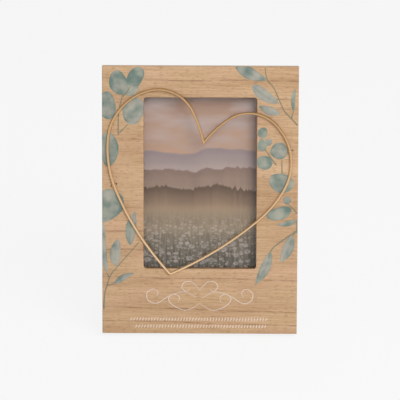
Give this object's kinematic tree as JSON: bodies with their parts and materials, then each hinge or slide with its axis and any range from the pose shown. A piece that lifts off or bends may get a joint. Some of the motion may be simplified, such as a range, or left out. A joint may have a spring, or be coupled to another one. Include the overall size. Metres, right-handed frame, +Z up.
{
  "type": "photo frame with wire heart",
  "caption": "Free-standing portrait photo frame: a wood-effect board with a glazed window, a gold wire heart tied across its face, and a hinged easel strut behind.",
  "frame": {"origin": "on the floor, under the middle of the box of the standing frame", "axes": "+X to the right as seen from the front, +Y to the back, +Z up; the front looks to -Y, leaned back 13 degrees"},
  "size_m": [0.168, 0.089, 0.2282],
  "materials": {
    "wood_effect_board": "printed light oak effect on MDF, satin",
    "gold_wire": "satin gold plated wire",
    "clear_glass": "clear float glass",
    "photo_paper": "coated photo paper",
    "filler_card": "grey pulp board",
    "back_board": "bare brown MDF",
    "zinc_steel": "zinc plated sheet and wire"
  },
  "bodies": {
    "frame": {"face_board": "wood_effect_board", "heart_wire": "gold_wire", "wire_ties": "gold_wire", "glass_pane": "clear_glass", "photo_print": "photo_paper", "filler_card": "filler_card", "back_panel": "back_board", "hinge_bracket": "zinc_steel", "bracket_rivets": "zinc_steel", "hinge_pin": "zinc_steel", "button_screws": "zinc_steel"},
    "strut": {"easel_strut": "back_board", "strut_clip": "zinc_steel", "clip_rivets": "zinc_steel"},
    "turn_button_upper_left": {"turn_button_upper_left": "zinc_steel"},
    "turn_button_upper_right": {"turn_button_upper_right": "zinc_steel"},
    "turn_button_lower_left": {"turn_button_lower_left": "zinc_steel"},
    "turn_button_lower_right": {"turn_button_lower_right": "zinc_steel"}
  },
  "joints": [
    {"name": "strut_fold", "type": "hinge", "parent": "frame", "child": "strut", "pos_m": [0, 0.00955, 0.15705], "axis": [1, 0, 0], "range_deg": [-25, 0]},
    {"name": "turn_upper_left_button", "type": "hinge", "parent": "frame", "child": "turn_button_upper_left", "pos_m": [-0.0595, 0.01123, 0.17811], "axis": [0, 0.9744, -0.225], "continuous": true},
    {"name": "turn_upper_right_button", "type": "hinge", "parent": "frame", "child": "turn_button_upper_right", "pos_m": [0.0595, 0.01123, 0.17811], "axis": [0, 0.9744, -0.225], "continuous": true},
    {"name": "turn_lower_left_button", "type": "hinge", "parent": "frame", "child": "turn_button_lower_left", "pos_m": [-0.0595, -0.01234, 0.076], "axis": [0, 0.9744, -0.225], "continuous": true},
    {"name": "turn_lower_right_button", "type": "hinge", "parent": "frame", "child": "turn_button_lower_right", "pos_m": [0.0595, -0.01234, 0.076], "axis": [0, 0.9744, -0.225], "continuous": true}
  ]
}
